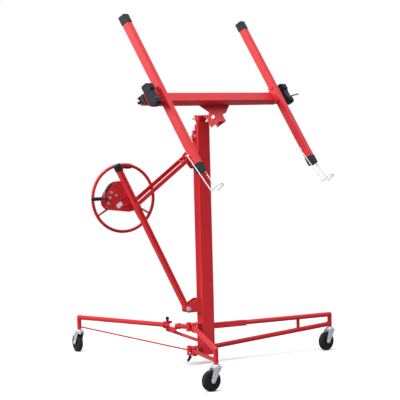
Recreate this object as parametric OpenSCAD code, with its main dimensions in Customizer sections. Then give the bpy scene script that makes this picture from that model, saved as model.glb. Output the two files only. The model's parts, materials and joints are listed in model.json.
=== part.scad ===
// Drywall lift: a three-stage mast on three legs with casters, a hand winch on a
// folding side strut, and a tilting cradle that carries a plasterboard panel.
// Millimetres, +Z up, floor at z = 0. The winch is on the -X side of the mast,
// and the fixed leg points along +X.

/* [Mast] */
// Mast section along X
mast_w = 70; // [66:1:76]
// Mast section along Y
mast_d = 63; // [60:1:68]
// Height of the lower end of the mast
mast_foot_z = 45; // [40:1:50]
// Height of the mast's top edge
mast_top_z = 1253; // [1240:1:1256]
// Height at which the winch side of the mast is cut away
mast_cut_z = 1209; // [1190:1:1220]
// Side of the square middle stage
middle_w = 50; // [48:1:51]
// Side of the square inner stage
inner_w = 38; // [36:1:40]

/* [Legs] */
// Height of the leg tubes' centre line
leg_z = 192; // [188:1:196]
// Diameter of the leg tubes
leg_d = 25.4; // [22:0.1:26]
// Mast axis to the fixed leg's caster post
fixed_reach = 762; // [700:1:850]
// Mast axis to the folding legs' caster posts
side_reach = 866; // [800:1:950]
// Angle of the folding legs from the fixed leg
side_angle = 115.5; // [112:0.5:120]

/* [Casters] */
// Diameter of the caster wheels
wheel_d = 100; // [96:1:100]
// Width of the caster wheels
wheel_w = 28; // [24:1:30]
// Distance from the swivel axis to the axle
caster_trail = 30; // [25:1:35]

/* [Winch] */
// Diameter of the diagonal strut
strut_d = 35; // [32:1:36]
// Outer diameter of the hand wheel's rim
hand_wheel_d = 358; // [340:1:360]
// Pitch diameter per tooth of the winch gears
gear_module = 2.5; // [2.5:0.5:2.5]
// Teeth on the hand wheel's pinion
pinion_teeth = 12; // [12:1:12]
// Teeth on the drum gear
gear_teeth = 48; // [48:1:48]

/* [Cradle] */
// Turn of the cradle from the fixed leg's direction
beam_angle = 26.9; // [0:0.1:45]
// Tilt of the cradle from level
cradle_tilt = 59.9; // [55:0.1:60]
// Side of the square crossbeam
beam_w = 50; // [50:1:50]
// Length of the crossbeam
beam_len = 1120; // [1100:1:1140]
// Distance between the two arms
arm_spacing = 1039; // [1030:1:1045]
// Length of each arm with its end caps
arm_len = 888; // [860:1:920]
// Side of the square arms
arm_w = 38; // [36:1:40]

/* [Hidden] */
$fn = 48;

// Mast axis from the middle of the whole lift's footprint
mast_x = -87.99;
mast_y = -24.66;

red = [0.74, 0.10, 0.13];
black = [0.08, 0.08, 0.09];
zinc = [0.72, 0.74, 0.77];
nylon = [0.90, 0.90, 0.87];

gap = 0.3;
fit = 0.05;

mast_wall = 3;
stage_wall = 2.5;
middle_foot_z = 78;
middle_top_z = 1238;
inner_foot_z = 98;
outer_pad_z = 1186;
middle_pad_z = 1200;
pad_h = 30;
block_z = 1259;
block_h = 22;
latch_pin_z = block_z + 10;
latch_pin_r = 3;
pulley_x = -44;
pulley_z = mast_cut_z - 28;
pulley_pin_r = 5;
ear_y = 11;
ear_t = 3;

leg_wall = 2;
side_x = side_reach * cos(side_angle);
side_y = side_reach * sin(side_angle);
hinge_x = -85;
hinge_y = 28;
fold_angle = atan2(side_y - hinge_y, side_x - hinge_x);
fold_len = norm([side_x - hinge_x, side_y - hinge_y]);
low_hinge_z = 70;
low_post_z = 141;
sleeve_r = 14;
sleeve_h = 31.4;
hinge_pin_r = 6;
plate_t = 5;
post_r = 12;
post_z = 127;
stem_h = 40;
strut_at = 561;
socket_bolt_x = [110, 200];
socket_len = 200;
socket_wall = 3;
saddle_start = 74;
saddle_end = 164;
lock_reach = 150;
plunger_r = 5;
brace_r = 8.5;
latch_x = hinge_x - 16;
latch_y = -6;
latch_r = 4;

axle_z = wheel_d / 2;
stem_r = 5.5;
fork_top_z = 113;
left_post = [side_x, side_y, 0];
front_post = [side_x, -side_y, 0];
right_post = [fixed_reach, 0, 0];
left_trail = 90;
front_trail = -172.5;
right_trail = -166.8;
axle_r = 4;
rim_in = 35;

strut_foot = [-111, 0, 292];
strut_top = [-486, 0, 1045];
strut_lean = atan2(strut_foot[0] - strut_top[0], strut_top[2] - strut_foot[2]);
strut_len = norm(strut_top - strut_foot);
hook_pin = [-381.5, 0, 835];
link_pin = [-75, 0, 1078];
link_y = 38;
link_slope = 36.2;
link_bar_w = 20;
link_bar_t = 5;
link_span = (link_pin[0] - hook_pin[0]) * cos(link_slope) + (link_pin[2] - hook_pin[2]) * sin(link_slope);
strut_pin_r = 6;
link_pin_r = 5;
clevis_low = 272;
clevis_high = 342;
clevis_y = 21.8;
bracket_low = 1012;
bracket_high = 1098;
bracket_y = 33.2;
near_y = 44;
far_y = 92;
frame_t = 3;
wheel_axis = [-400, 0, 872.6];
wheel_y = 115;
rim_r = 8;
gear_gap = gear_module * (pinion_teeth + gear_teeth) / 2;
gear_dir = 164;
drum_axis = wheel_axis + gear_gap * [cos(gear_dir), 0, sin(gear_dir)];
shaft_r = 7;
flange_y = 62;
flange_t = 3;
drum_len = 22;
drum_r = 30;
frame_posts = [[-368, 0, 822], [-506, 0, 833], [-432, 0, 951]];
standoffs = [[-350, 0, 798], [-338, 0, 776]];
near_screws = [[-499, 0, 908], [-508, 0, 881], [-518, 0, 853]];
post_bolt_r = 4;
crank_angle = 71;
lever_pin = [-530, 0, 879];

pivot_reach = 105.6;
pivot_z = 1275.4;
tilt_bolt_r = 6;
ear_r = 12.5;
head_top_z = pivot_z + 11.6;
swivel_r = 10;
cheek_gap = 54;
cheek_t = 3;
beam_y = 81.8;
beam_z = 41.4;
beam_wall = 2.5;
saddle_t = 3;
arm_up = beam_w / 2 + saddle_t + arm_w / 2;
arm_shift = 8;
arm_wall = 2;
cap_len = 45;
cap_t = 2;
outrigger_w = beam_w - 2 * beam_wall - 2 * gap;
outrigger_end = 630;
outrigger_in = 250;
rest_x = 606;
saddle_bolt_y = 37;
saddle_bolt_r = 4;
hook_pivot_y = 345;
hook_pivot_z = -13.5;
hook_pivot_r = 3;
hook_half = 28;
lever_in = 14;
lever_pin_r = 4;
lever_slot = 21;

// ---------- frames ----------

module at_mast() {
    translate([mast_x, mast_y, 0]) children();
}

// Origin on the left (+Y) or front (-Y) leg hinge, +X out along the leg
module at_leg(side) {
    at_mast() translate([hinge_x, side * hinge_y, 0]) rotate([0, 0, side * fold_angle]) children();
}

// Swivel frame: +X along the crossbeam, -Y forward, on the mast axis
module at_swivel() {
    at_mast() rotate([0, 0, beam_angle]) children();
}

// Cradle frame: origin on the tilt bolt, +Z out of the panel plane
module at_cradle() {
    at_swivel() translate([0, -pivot_reach, pivot_z]) rotate([cradle_tilt, 0, 0]) children();
}

// Crossbeam frame: the cradle frame moved to the beam's centre
module at_beam() {
    at_cradle() translate([0, beam_y, beam_z]) children();
}

// Strut frame: origin on the winch pivot, +Z up along the diagonal strut
module at_strut() {
    at_mast() translate(strut_foot) rotate([0, -strut_lean, 0]) children();
}

// ---------- shapes ----------

module rounded_square(w, d, r) {
    square([w - 2 * r, d], center = true);
    square([w, d - 2 * r], center = true);
    for (x = [-1, 1], y = [-1, 1]) translate([x * (w / 2 - r), y * (d / 2 - r)]) circle(r, $fn = 24);
}

module box_section(w, d, wall, r = 4) {
    difference() {
        rounded_square(w, d, r);
        rounded_square(w - 2 * wall, d - 2 * wall, max(r - wall, 0.6));
    }
}

// Flat link shape: a bar with round ends about two points
module bar_2d(a, b, r) {
    span = norm(b - a);
    translate(a) circle(r);
    translate(b) circle(r);
    translate(a) rotate(atan2(b[1] - a[1], b[0] - a[0])) translate([0, -r]) square([span, 2 * r]);
}

module rod(a, b, r) {
    span = norm(b - a);
    turn = atan2(b[1] - a[1], b[0] - a[0]);
    translate(a) rotate([0, acos((b[2] - a[2]) / span), turn]) cylinder(r = r, h = span);
}

module pipe(a, b, r, wall) {
    span = norm(b - a);
    turn = atan2(b[1] - a[1], b[0] - a[0]);
    translate(a) rotate([0, acos((b[2] - a[2]) / span), turn]) difference() {
        cylinder(r = r, h = span);
        translate([0, 0, -1]) cylinder(r = r - wall, h = span + 2);
    }
}

// Upright plate in an XZ plane, from y0 toward +Y
module side_plate(y0, thick) {
    translate([0, y0 + thick, 0]) rotate([90, 0, 0]) linear_extrude(thick) children();
}

// Rod along Y between y0 and y1 through the point p
module y_rod(p, y0, y1, r) {
    translate([p[0], y1, p[2]]) rotate([90, 0, 0]) cylinder(r = r, h = y1 - y0);
}

module hex_y(p, y0, h, across) {
    translate([p[0], y0 + h, p[2]]) rotate([90, 0, 0]) cylinder(d = across / cos(30), h = h, $fn = 6);
}

module hex_x(p, h, across) {
    translate(p) rotate([0, 90, 0]) cylinder(d = across / cos(30), h = h, $fn = 6);
}

// Involute spur gear outline
function involute(r, base) = r <= base ? 0 : sqrt(pow(r / base, 2) - 1) * 180 / PI - acos(base / r);

module gear_2d(teeth, tip, root, slack) {
    pitch_r = gear_module * teeth / 2;
    base = pitch_r * cos(20);
    outer = pitch_r + tip;
    inner = pitch_r - root;
    start = max(inner, base);
    half = 90 / teeth - slack;
    radii = [inner, start, start + (outer - start) * 0.35, start + (outer - start) * 0.7, outer];
    angles = [for (r = radii) half + involute(pitch_r, base) - involute(r, base)];
    last = len(radii) - 1;
    polygon([for (i = [0:teeth - 1]) let (mid = 360 * i / teeth)
        each concat(
            [for (k = [0:last]) radii[k] * [cos(mid - angles[k]), sin(mid - angles[k])]],
            [for (k = [last:-1:0]) radii[k] * [cos(mid + angles[k]), sin(mid + angles[k])]])]);
}

// ---------- mast ----------

module mast_outer() {
    color(red) at_mast() pulley_ears();
    color(red) at_mast() difference() {
        translate([0, 0, mast_foot_z]) linear_extrude(mast_top_z - mast_foot_z)
            box_section(mast_w, mast_d, mast_wall, 4);
        // The winch side and the back are cut lower than the front and the leg side
        translate([-mast_w, -mast_d / 2 + mast_wall + 1, mast_cut_z]) cube([mast_w * 1.4, 2 * mast_d, 100]);
        // Slot for the cable pulley in the winch side
        translate([-mast_w / 2 - 1, -8, mast_cut_z - 52]) cube([mast_wall + 2, 16, 60]);
    }
}

module outer_guide_pads() {
    reach_x = mast_w / 2 - mast_wall;
    reach_y = mast_d / 2 - mast_wall;
    half = middle_w / 2 + gap;
    color(nylon) at_mast() {
        // The pad on the winch side sits beside the pulley's slot
        translate([(half + reach_x) / 2, 0, outer_pad_z]) cube([reach_x - half, 30, pad_h], center = true);
        translate([-(half + reach_x) / 2, 16, outer_pad_z]) cube([reach_x - half, 14, pad_h], center = true);
        for (s = [-1, 1]) translate([0, s * (half + reach_y) / 2, outer_pad_z])
            cube([30, reach_y - half, pad_h], center = true);
    }
}

module pulley_ears() {
    // Two ears that carry the cable pulley on the winch side
    for (s = [-1, 1]) side_plate(s * ear_y - ear_t / 2, ear_t) difference() {
        polygon([[-35, mast_cut_z - 64], [-35, mast_cut_z - 2], [-46, mast_cut_z - 6],
                 [-57, mast_cut_z - 22], [-57, mast_cut_z - 34], [-46, mast_cut_z - 52]]);
        translate([pulley_x, pulley_z]) circle(pulley_pin_r);
    }
}

module mast_pulley() {
    color(nylon) at_mast() translate([pulley_x, 6, pulley_z]) rotate([90, 0, 0]) difference() {
        rotate_extrude() polygon([[3, 0], [17, 0], [17, 2], [13, 5], [13, 7], [17, 10], [17, 12], [3, 12]]);
        translate([0, 0, -1]) cylinder(r = pulley_pin_r + fit, h = 14);
    }
}

module pulley_pin() {
    p = [pulley_x, 0, pulley_z];
    reach = ear_y + ear_t / 2;
    color(zinc) at_mast() {
        y_rod(p, -reach, reach, pulley_pin_r);
        y_rod(p, -reach - 3, -reach, 8);
        y_rod(p, reach, reach + 3, 8);
    }
}

module mast_middle() {
    color(red) at_mast() translate([0, 0, middle_foot_z]) linear_extrude(middle_top_z - middle_foot_z)
        box_section(middle_w, middle_w, stage_wall, 3);
}

module middle_guide_pads() {
    in = middle_w / 2 - stage_wall;
    half = inner_w / 2 + gap;
    color(nylon) at_mast() for (a = [0, 90, 180, 270]) rotate([0, 0, a])
        translate([half, -12, middle_pad_z]) cube([in - half, 24, pad_h]);
}

module mast_inner() {
    color(red) at_mast() translate([0, 0, inner_foot_z]) linear_extrude(block_z - inner_foot_z)
        box_section(inner_w, inner_w, stage_wall, 3);
}

module head_block() {
    color(red) at_mast() difference() {
        translate([0, 0, block_z]) linear_extrude(block_h) rounded_square(48, 45, 3);
        translate([0, 0, block_z - 1]) cylinder(r = swivel_r + fit, h = block_h + 2);
        translate([-30, 0, latch_pin_z]) rotate([0, 90, 0]) cylinder(r = latch_pin_r + fit, h = 24);
    }
}

module swivel_latch_pin() {
    color(zinc) at_mast() {
        translate([-43, 0, latch_pin_z]) rotate([0, 90, 0]) cylinder(r = latch_pin_r, h = 32.6);
        translate([-46, 0, latch_pin_z]) rotate([0, 90, 0]) cylinder(r = 5, h = 6);
    }
}

// ---------- base ----------

// Horizontal plate that carries both leg hinge pins
module hinge_plate(z) {
    translate([0, 0, z]) linear_extrude(plate_t) difference() {
        union() {
            translate([hinge_x + 4, -hinge_y]) square([-mast_w / 2 - hinge_x - 4, 2 * hinge_y]);
            for (s = [-1, 1]) translate([hinge_x, s * hinge_y]) circle(16);
            translate([hinge_x - 6, -hinge_y]) square([20, 2 * hinge_y]);
        }
        for (s = [-1, 1]) translate([hinge_x, s * hinge_y]) circle(hinge_pin_r);
    }
}

module hinge_bracket() {
    plate_gap = sleeve_h / 2 + gap;
    color(red) at_mast() difference() {
        union() {
            for (z = [leg_z, low_hinge_z]) {
                hinge_plate(z + plate_gap);
                hinge_plate(z - plate_gap - plate_t);
            }
            // Tongue that carries the front leg's latch pin
            translate([latch_x - 11, latch_y - 10, low_hinge_z - plate_gap - plate_t])
                cube([hinge_x - latch_x + 12, 20, plate_t]);
            translate([-mast_w / 2 - 5, -24, low_hinge_z - plate_gap - plate_t])
                cube([5, 48, leg_z - low_hinge_z + 2 * (plate_gap + plate_t)]);
        }
        translate([latch_x, latch_y, 0]) cylinder(r = latch_r + fit, h = low_hinge_z);
    }
}

// A short round-headed pin for each hinge sleeve
module leg_hinge_pins() {
    half = sleeve_h / 2 + gap + plate_t;
    color(red) at_mast() for (s = [-1, 1], z = [leg_z, low_hinge_z])
        translate([hinge_x, s * hinge_y, z]) {
            translate([0, 0, -half]) cylinder(r = hinge_pin_r, h = 2 * half);
            translate([0, 0, half]) cylinder(r1 = 10, r2 = 7, h = 4);
            translate([0, 0, -half - 4]) cylinder(r1 = 7, r2 = 10, h = 4);
        }
}

// Caster post: a short tube with a bore for the caster's stem
module caster_post(x, top_z) {
    difference() {
        translate([x, 0, post_z]) cylinder(r = post_r, h = top_z - post_z);
        translate([x, 0, post_z - 1]) cylinder(r = stem_r + fit, h = stem_h + 4);
    }
}

module folding_leg(side, low_r) {
    color(red) at_leg(side) difference() {
        union() {
            for (z = [leg_z, low_hinge_z]) translate([0, 0, z - sleeve_h / 2])
                cylinder(r = sleeve_r, h = sleeve_h);
            rod([8, 0, leg_z], [fold_len, 0, leg_z], leg_d / 2);
            rod([8, 0, low_hinge_z], [fold_len, 0, low_post_z], low_r);
            translate([fold_len, 0, leg_z]) sphere(leg_d / 2);
            caster_post(fold_len, leg_z);
        }
        for (z = [leg_z, low_hinge_z]) translate([0, 0, z - sleeve_h / 2 - 1])
            cylinder(r = hinge_pin_r + fit, h = sleeve_h + 2);
        translate([30, 0, leg_z]) rotate([0, 90, 0]) cylinder(r = leg_d / 2 - leg_wall, h = fold_len - 50);
        translate([fold_len, 0, post_z - 1]) cylinder(r = stem_r + fit, h = stem_h + 4);
    }
}

module leg_left() { folding_leg(1, 4); }
module leg_front() { folding_leg(-1, 10); }

module leg_fixed() {
    start = mast_w / 2 + 24;
    low_end = [fixed_reach, 0, low_post_z];
    low_start = [mast_w / 2 + 0.1, 0, 82];
    slope = (low_end[2] - low_start[2]) / (low_end[0] - low_start[0]);
    color(red) at_mast() difference() {
        union() {
            rod([start, 0, leg_z], [fixed_reach, 0, leg_z], leg_d / 2);
            rod(low_start + [6, 0, 0], low_end, leg_d / 2);
            translate([mast_w / 2, -14, 64]) cube([8, 28, 36]);
            translate([strut_at, 0, low_start[2] + slope * (strut_at - low_start[0])])
                cylinder(r = 9, h = leg_z - low_start[2] - slope * (strut_at - low_start[0]));
            translate([fixed_reach, 0, leg_z]) sphere(leg_d / 2);
            caster_post(fixed_reach, leg_z);
        }
        translate([start - 1, 0, leg_z]) rotate([0, 90, 0])
            cylinder(r = leg_d / 2 - leg_wall, h = fixed_reach - start - 20);
        translate([fixed_reach, 0, post_z - 1]) cylinder(r = stem_r + fit, h = stem_h + 4);
        for (x = socket_bolt_x) y_rod([x, 0, leg_z], -20, 20, 4);
    }
}

// Channel that the fixed leg's tube sits in
module leg_socket() {
    w = leg_d + 2 * socket_wall;
    color(red) at_mast() difference() {
        translate([mast_w / 2, -w / 2, leg_z - leg_d / 2 - socket_wall])
            cube([socket_len, w, leg_d + socket_wall]);
        translate([mast_w / 2 - 1, -leg_d / 2, leg_z]) cube([socket_len + 10, leg_d, leg_d]);
        translate([mast_w / 2 - 1, 0, leg_z]) rotate([0, 90, 0])
            cylinder(r = leg_d / 2, h = socket_len + 10);
        for (x = socket_bolt_x) y_rod([x, 0, leg_z], -30, 30, 4);
    }
}

module socket_bolts() {
    half = leg_d / 2 + socket_wall;
    color(red) at_mast() for (x = socket_bolt_x) {
        y_rod([x, 0, leg_z], -half, half, 4);
        hex_y([x, 0, leg_z], -half - 5, 5, 13);
        hex_y([x, 0, leg_z], half, 6.5, 13);
    }
}

// Saddle that holds the left leg open, with its brace to the mast
module leg_lock() {
    under = leg_z - leg_d / 2 - gap;
    over = leg_z + leg_d / 2 + 3.7;
    long = saddle_end - saddle_start;
    knee = [hinge_x + saddle_end * cos(fold_angle) + 10, hinge_y + saddle_end * sin(fold_angle), 166];
    color(red) {
        at_leg(1) difference() {
            union() {
                translate([saddle_start, -22, under - 4]) cube([long, 40, 4]);
                translate([saddle_start, 14, under - 14]) cube([long / 2, 4, 14]);
                translate([saddle_start, -22, under - 4]) cube([long, 4, leg_d]);
                translate([lock_reach - 13, -22, under - 4]) cube([26, 4, over + 4 - under + 4]);
                translate([lock_reach - 13, -22, over]) cube([26, 34, 4]);
            }
            translate([lock_reach, 0, leg_z]) cylinder(r = plunger_r + fit, h = 40);
        }
        at_mast() {
            difference() {
                rod([-mast_w / 2, 16, 117], knee, brace_r);
                translate([-mast_w / 2 - 5, -mast_d / 2, 90]) cube([mast_w, mast_d, 60]);
            }
            translate(knee) cylinder(r = 9, h = under - 4 - knee[2]);
            translate(knee) sphere(9);
        }
    }
}

module lock_plunger() {
    tip = leg_z + leg_d / 2 + gap;
    color(black) at_leg(1) translate([lock_reach, 0, tip]) {
        cylinder(r = plunger_r, h = 18);
        translate([0, 0, 11]) cylinder(r = 7, h = 4);
        translate([0, 0, 22]) sphere(9.5);
    }
}

module leg_latch_pin() {
    color(black) at_mast() {
        translate([latch_x, latch_y, 36]) cylinder(r = latch_r, h = 20);
        translate([latch_x, latch_y, 34]) cylinder(r = 8, h = 12);
        rod([latch_x, latch_y, 38], [latch_x - 12, latch_y - 2, 24], 7);
        translate([latch_x - 12, latch_y - 2, 24]) sphere(7);
    }
}

// ---------- casters ----------

module at_caster(post, angle) {
    at_mast() translate(post) rotate([0, 0, angle]) children();
}

module caster_fork_body() {
    leg_in = wheel_w / 2 + 3;
    color(zinc) {
        translate([0, 0, fork_top_z]) cylinder(r = stem_r, h = post_z + stem_h - fork_top_z);
        translate([0, 0, fork_top_z]) cylinder(r = 21, h = 6);
        translate([0, 0, fork_top_z + 6]) cylinder(r = 17, h = 4);
    }
    color(zinc) {
        translate([0, 0, fork_top_z - 5]) linear_extrude(5) rounded_square(46, 2 * leg_in + 6, 6);
        for (s = [-1, 1]) side_plate(s * (leg_in + 1.5) - 1.5, 3) difference() {
            polygon([[-22, fork_top_z - 1], [22, fork_top_z - 1], [caster_trail + 13, axle_z],
                     [caster_trail + 8, axle_z - 10], [caster_trail - 6, axle_z - 11],
                     [caster_trail - 13, axle_z]]);
            translate([caster_trail, axle_z]) circle(axle_r);
        }
        y_rod([caster_trail, 0, axle_z], -leg_in - 3, leg_in + 3, axle_r);
        hex_y([caster_trail, 0, axle_z], -leg_in - 8, 5, 13);
        hex_y([caster_trail, 0, axle_z], leg_in + 3, 6, 13);
    }
}

module caster_hub() {
    color(black) translate([caster_trail, wheel_w / 2 + 2, axle_z]) rotate([90, 0, 0]) difference() {
        rotate_extrude() polygon([[0, 0], [10, 0], [10, 5], [28, 5], [28, 3], [rim_in, 3],
                                  [rim_in, wheel_w + 1],
                                  [28, wheel_w + 1], [28, wheel_w - 1], [10, wheel_w - 1],
                                  [10, wheel_w + 4], [0, wheel_w + 4]]);
        translate([0, 0, -1]) cylinder(r = axle_r + fit, h = wheel_w + 8);
    }
}

module caster_tyre() {
    r = axle_z;
    color(black) translate([caster_trail, wheel_w / 2, axle_z]) rotate([90, 0, 0]) rotate_extrude($fn = 72)
        polygon([[rim_in, 1], [42, 0], [46, 1.5], [49, 5], [r, 10], [r, wheel_w - 10], [49, wheel_w - 5],
                 [46, wheel_w - 1.5], [42, wheel_w], [rim_in, wheel_w - 1]]);
}

module caster_fork_left() { at_caster(left_post, left_trail) caster_fork_body(); }
module caster_hub_left() { at_caster(left_post, left_trail) caster_hub(); }
module caster_tyre_left() { at_caster(left_post, left_trail) caster_tyre(); }
module caster_fork_front() { at_caster(front_post, front_trail) caster_fork_body(); }
module caster_hub_front() { at_caster(front_post, front_trail) caster_hub(); }
module caster_tyre_front() { at_caster(front_post, front_trail) caster_tyre(); }
module caster_fork_right() { at_caster(right_post, right_trail) caster_fork_body(); }
module caster_hub_right() { at_caster(right_post, right_trail) caster_hub(); }
module caster_tyre_right() { at_caster(right_post, right_trail) caster_tyre(); }

// ---------- cradle ----------

module swivel_head() {
    low = block_z + block_h + gap;
    color(red) at_swivel() {
        translate([0, 0, block_z - 8]) cylinder(r = swivel_r, h = block_h + 10);
        translate([-26, -34, low]) cube([52, 60, head_top_z - low]);
        for (s = [-1, 1]) side_ear(s * 23 - 3);
    }
}

module side_ear(x0) {
    low = pivot_z - ear_r;
    translate([x0, 0, 0]) rotate([90, 0, 90]) linear_extrude(6) difference() {
        union() {
            polygon([[-34, block_z + block_h + gap], [-34, head_top_z], [-pivot_reach + 4.6, head_top_z],
                     [-pivot_reach, low], [-66, low]]);
            translate([-pivot_reach, pivot_z]) circle(ear_r);
        }
        translate([-pivot_reach, pivot_z]) circle(tilt_bolt_r);
    }
}

module swivel_nut() {
    color(zinc) at_swivel() difference() {
        translate([0, 0, block_z - 12.3]) cylinder(d = 24 / cos(30), h = 12, $fn = 6);
        translate([0, 0, block_z - 13]) cylinder(r = swivel_r, h = 14);
    }
}

module tilt_bolt() {
    half = cheek_gap / 2 + cheek_t + gap;
    color(zinc) at_cradle() rotate([0, 90, 0]) {
        translate([0, 0, -half]) cylinder(r = tilt_bolt_r, h = 2 * half);
        translate([0, 0, -half - 8]) cylinder(d = 19 / cos(30), h = 8, $fn = 6);
        translate([0, 0, half]) cylinder(d = 19 / cos(30), h = 10, $fn = 6);
    }
}

module cradle_beam() {
    color(red) at_beam() rotate([0, 90, 0]) translate([0, 0, -beam_len / 2]) linear_extrude(beam_len)
        box_section(beam_w, beam_w, beam_wall, 4);
}

// Flared plate and channel under the beam, with the bores for the tilt bolt
module cradle_yoke() {
    top = beam_z - beam_w / 2;
    inner = cheek_gap / 2;
    color(red) at_cradle() {
        translate([0, 0, top - cheek_t]) linear_extrude(cheek_t)
            polygon([[-132, beam_y + 25], [-132, beam_y - 25], [-69, 14], [-inner - cheek_t, 4],
                     [-inner - cheek_t, -36], [inner + cheek_t, -36], [inner + cheek_t, 4],
                     [69, 14], [132, beam_y - 25], [132, beam_y + 25]]);
        for (s = [-1, 1]) translate([s * (inner + cheek_t / 2) - cheek_t / 2, 0, 0]) rotate([90, 0, 90])
            linear_extrude(cheek_t) difference() {
                polygon([[-36, top - cheek_t], [-36, -46], [8, -46], [44, -8], [50, top - cheek_t]]);
                circle(tilt_bolt_r + fit);
            }
    }
}

module at_arm(side) {
    at_beam() translate([side * arm_spacing / 2, arm_shift, arm_up]) children();
}

module cradle_arms() {
    long = arm_len - 2 * cap_t;
    color(red) for (s = [-1, 1]) at_arm(s) rotate([90, 0, 0]) translate([0, 0, -long / 2]) difference() {
        linear_extrude(long) box_section(arm_w, arm_w, arm_wall, 3);
        // Cross holes for the saddle bolts and the hook's pivot
        for (e = [-1, 1]) translate([-arm_w, 0, long / 2 - e * saddle_bolt_y + arm_shift]) rotate([0, 90, 0])
            cylinder(r = saddle_bolt_r, h = 2 * arm_w);
        translate([-arm_w, hook_pivot_z, long / 2 + hook_pivot_y]) rotate([0, 90, 0])
            cylinder(r = hook_pivot_r + fit, h = 2 * arm_w);
    }
}

module arm_end_caps() {
    outer = arm_w + 2 * cap_t;
    color(black) for (s = [-1, 1], e = [-1, 1]) at_arm(s) rotate([e * 90, 0, 0])
        translate([0, 0, arm_len / 2 - cap_len]) difference() {
            linear_extrude(cap_len) rounded_square(outer, outer, 4);
            translate([0, 0, -1]) linear_extrude(cap_len - cap_t + 1) rounded_square(arm_w, arm_w, 3);
        }
}

module arm_saddles() {
    low = beam_w / 2;
    color(red) for (s = [-1, 1]) at_beam() translate([s * arm_spacing / 2, 0, 0]) difference() {
        union() {
            translate([-arm_w / 2 - saddle_t, -46, low]) cube([arm_w + 2 * saddle_t, 92, saddle_t]);
            for (e = [-1, 1]) translate([e * (arm_w + saddle_t) / 2 - saddle_t / 2, -46, low])
                cube([saddle_t, 92, saddle_t + 26]);
            for (e = [-1, 1]) translate([-arm_w / 2 - saddle_t, e * (beam_w / 2 + 1.5) - 1.5, low - 16])
                cube([arm_w + 2 * saddle_t, 3, 16]);
        }
        for (e = [-1, 1]) translate([-arm_w, e * saddle_bolt_y, arm_up]) rotate([0, 90, 0])
            cylinder(r = saddle_bolt_r, h = 2 * arm_w);
    }
}

// Cross bolts that clamp each arm between its saddle's cheeks
module saddle_bolts() {
    half = arm_w / 2 + saddle_t;
    color(red) for (s = [-1, 1], e = [-1, 1])
        at_beam() translate([s * arm_spacing / 2, e * saddle_bolt_y, arm_up]) {
            translate([-half, 0, 0]) rotate([0, 90, 0]) cylinder(r = saddle_bolt_r, h = 2 * half);
            hex_x([-half - 5.3, 0, 0], 5.3, 13);
            hex_x([half, 0, 0], 6.5, 13);
        }
}

// Square bar that slides in the end of the beam
module outrigger(side) {
    color(red) at_beam() rotate([0, side * 90, 0]) translate([0, 0, outrigger_in]) difference() {
        linear_extrude(outrigger_end - outrigger_in) box_section(outrigger_w, outrigger_w, 2, 3);
        translate([0, 0, outrigger_end - outrigger_in - lever_in]) rotate([90, 0, 0])
            translate([0, 0, -40]) cylinder(r = lever_pin_r + fit, h = 80);
        // Slot in the back wall for the lever
        translate([side * outrigger_w / 2 - 5, -lever_slot / 2, outrigger_end - outrigger_in - lever_in - 8])
            cube([10, lever_slot, 60]);
    }
}

module outrigger_left() { outrigger(-1); }
module outrigger_right() { outrigger(1); }

// Moulded cross piece that the panel rests on, waisted in the middle
module panel_rest(side) {
    low = outrigger_w / 2;
    color(black) at_beam() translate([side * rest_x, 0, low]) rotate([90, 0, 90])
        translate([0, 0, -21]) linear_extrude(42)
            polygon([[-58, 6], [-50, 0], [50, 0], [58, 6], [58, 36], [50, 45], [28, 45], [16, 38],
                     [-16, 38], [-28, 45], [-50, 45], [-58, 36]]);
}

module panel_rest_left() { panel_rest(-1); }
module panel_rest_right() { panel_rest(1); }

// Cam lever in the bar's open end: a round hub on a pin through the bar, and a handle
module outrigger_lever(side, turn, reach, handle_r) {
    half = outrigger_w / 2;
    hub = half - 3;
    color(black) at_beam() translate([side * (outrigger_end - lever_in), 0, 0]) {
        y_rod([0, 0, 0], -half - 6, half + 6, lever_pin_r);
        y_rod([0, 0, 0], -hub, hub, hub);
        rotate([0, turn, 0]) {
            rod([hub - 2, 0, 0], [reach, 0, 0], handle_r);
            translate([reach, 0, 0]) sphere(handle_r);
        }
    }
}

module outrigger_lever_left() { outrigger_lever(-1, 100, 31, 8); }
module outrigger_lever_right() { outrigger_lever(1, -20, 135, 3.2); }

// Bent wire hook that holds the panel's lower edge: two legs on a pivot through the arm's end,
// turned up at their ends and joined in a half round
module panel_hook(side) {
    wire = 2.6;
    reach = 214;
    lip = 26;
    lift = 8.5;
    color(zinc) at_arm(side) translate([0, -hook_pivot_y, hook_pivot_z]) rotate([-lift, 0, 0]) {
        rod([-hook_half, 0, 0], [hook_half, 0, 0], hook_pivot_r);
        for (s = [-1, 1]) {
            translate([s * hook_half, 0, 0]) sphere(hook_pivot_r, $fn = 24);
            rod([s * hook_half, 0, 0], [s * hook_half, -reach, 0], wire);
            translate([s * hook_half, -reach, 0]) sphere(wire, $fn = 24);
            rod([s * hook_half, -reach, 0], [s * hook_half, -reach, lip], wire);
        }
        translate([0, -reach, lip]) rotate([90, 0, 0]) intersection() {
            rotate_extrude() translate([hook_half, 0]) circle(wire, $fn = 24);
            translate([-2 * hook_half, 0, -hook_half]) cube([4 * hook_half, 2 * hook_half, 2 * hook_half]);
        }
    }
}

module panel_hook_left() { panel_hook(-1); }
module panel_hook_right() { panel_hook(1); }

// ---------- winch ----------

module winch_clevis() {
    color(red) at_mast() {
        for (s = [-1, 1]) side_plate(s * clevis_y - 2, 4) difference() {
            polygon([[-mast_w / 2, clevis_low], [-mast_w / 2, clevis_high], [-60, clevis_high], [-126, 304],
                     [-126, 280], [-116, clevis_low]]);
            translate([strut_foot[0], strut_foot[2]]) circle(strut_pin_r);
        }
        translate([-mast_w / 2 - 4, -clevis_y + 2, clevis_low])
            cube([4, 2 * clevis_y - 4, clevis_high - clevis_low]);
    }
}

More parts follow.
